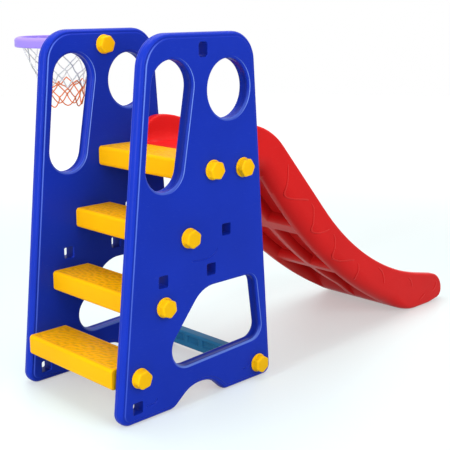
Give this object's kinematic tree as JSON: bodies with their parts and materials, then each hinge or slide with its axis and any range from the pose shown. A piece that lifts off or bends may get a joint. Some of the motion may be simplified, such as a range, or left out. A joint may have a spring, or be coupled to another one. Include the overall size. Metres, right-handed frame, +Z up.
{
  "type": "toddler climber with slide",
  "caption": "Toddler climber with moulded side panels, box steps, a curved slide, a cross brace and a net hoop on one side.",
  "frame": {"origin": "middle of the whole object's footprint, on the floor", "axes": "+X from the ladder side to the slide's toe, +Y towards the side that carries the hoop, +Z up"},
  "size_m": [1.6954, 0.8612, 1.1],
  "materials": {
    "panel": "smooth blow-moulded, satin gloss",
    "yellow": "smooth moulded, satin gloss",
    "slide": "smooth blow-moulded, satin gloss",
    "brace": "moulded, satin",
    "hoop": "moulded, satin gloss",
    "net": "knotted cord"
  },
  "bodies": {
    "climber": {"near_side_panel": "panel", "far_side_panel": "panel", "step_1": "yellow", "step_2": "yellow", "step_3": "yellow", "step_4": "yellow", "slide": "slide", "cross_brace": "brace", "hoop": "hoop", "hoop_net": "net"},
    "near_step_1_bolt": {"near_step_1_bolt": "yellow"},
    "near_step_2_bolt": {"near_step_2_bolt": "yellow"},
    "near_step_3_bolt": {"near_step_3_bolt": "yellow"},
    "near_step_4_bolt": {"near_step_4_bolt": "yellow"},
    "near_slide_bolt": {"near_slide_bolt": "yellow"},
    "near_brace_bolt": {"near_brace_bolt": "yellow"},
    "far_step_1_bolt": {"far_step_1_bolt": "yellow"},
    "far_step_2_bolt": {"far_step_2_bolt": "yellow"},
    "far_step_3_bolt": {"far_step_3_bolt": "yellow"},
    "far_step_4_bolt": {"far_step_4_bolt": "yellow"},
    "far_slide_bolt": {"far_slide_bolt": "yellow"},
    "far_brace_bolt": {"far_brace_bolt": "yellow"},
    "hoop_bolt": {"hoop_bolt": "yellow"}
  },
  "joints": [
    {"name": "near_step_1_bolt_turn", "type": "hinge", "parent": "climber", "child": "near_step_1_bolt", "pos_m": [-0.7776, -0.40455, 0.14], "axis": [0, -1, 0], "range_deg": [0, 90]},
    {"name": "near_step_2_bolt_turn", "type": "hinge", "parent": "climber", "child": "near_step_2_bolt", "pos_m": [-0.6806, -0.40455, 0.3283], "axis": [0, -1, 0], "range_deg": [0, 90]},
    {"name": "near_step_3_bolt_turn", "type": "hinge", "parent": "climber", "child": "near_step_3_bolt", "pos_m": [-0.5836, -0.40455, 0.5166], "axis": [0, -1, 0], "range_deg": [0, 90]},
    {"name": "near_step_4_bolt_turn", "type": "hinge", "parent": "climber", "child": "near_step_4_bolt", "pos_m": [-0.4866, -0.40455, 0.7049], "axis": [0, -1, 0], "range_deg": [0, 90]},
    {"name": "near_slide_bolt_turn", "type": "hinge", "parent": "climber", "child": "near_slide_bolt", "pos_m": [-0.3621, -0.40455, 0.6979], "axis": [0, -1, 0], "range_deg": [0, 90]},
    {"name": "near_brace_bolt_turn", "type": "hinge", "parent": "climber", "child": "near_brace_bolt", "pos_m": [-0.2896, -0.40455, 0.052], "axis": [0, -1, 0], "range_deg": [0, 90]},
    {"name": "far_step_1_bolt_turn", "type": "hinge", "parent": "climber", "child": "far_step_1_bolt", "pos_m": [-0.7776, 0.09485, 0.14], "axis": [0, 1, 0], "range_deg": [0, 90]},
    {"name": "far_step_2_bolt_turn", "type": "hinge", "parent": "climber", "child": "far_step_2_bolt", "pos_m": [-0.6806, 0.09485, 0.3283], "axis": [0, 1, 0], "range_deg": [0, 90]},
    {"name": "far_step_3_bolt_turn", "type": "hinge", "parent": "climber", "child": "far_step_3_bolt", "pos_m": [-0.5836, 0.09485, 0.5166], "axis": [0, 1, 0], "range_deg": [0, 90]},
    {"name": "far_step_4_bolt_turn", "type": "hinge", "parent": "climber", "child": "far_step_4_bolt", "pos_m": [-0.4866, 0.09485, 0.7049], "axis": [0, 1, 0], "range_deg": [0, 90]},
    {"name": "far_slide_bolt_turn", "type": "hinge", "parent": "climber", "child": "far_slide_bolt", "pos_m": [-0.3621, 0.09485, 0.6979], "axis": [0, 1, 0], "range_deg": [0, 90]},
    {"name": "far_brace_bolt_turn", "type": "hinge", "parent": "climber", "child": "far_brace_bolt", "pos_m": [-0.2896, 0.09485, 0.052], "axis": [0, 1, 0], "range_deg": [0, 90]},
    {"name": "hoop_bolt_turn", "type": "hinge", "parent": "climber", "child": "hoop_bolt", "pos_m": [-0.5221, 0.05185, 1.052], "axis": [0, -1, 0], "range_deg": [0, 90]}
  ]
}
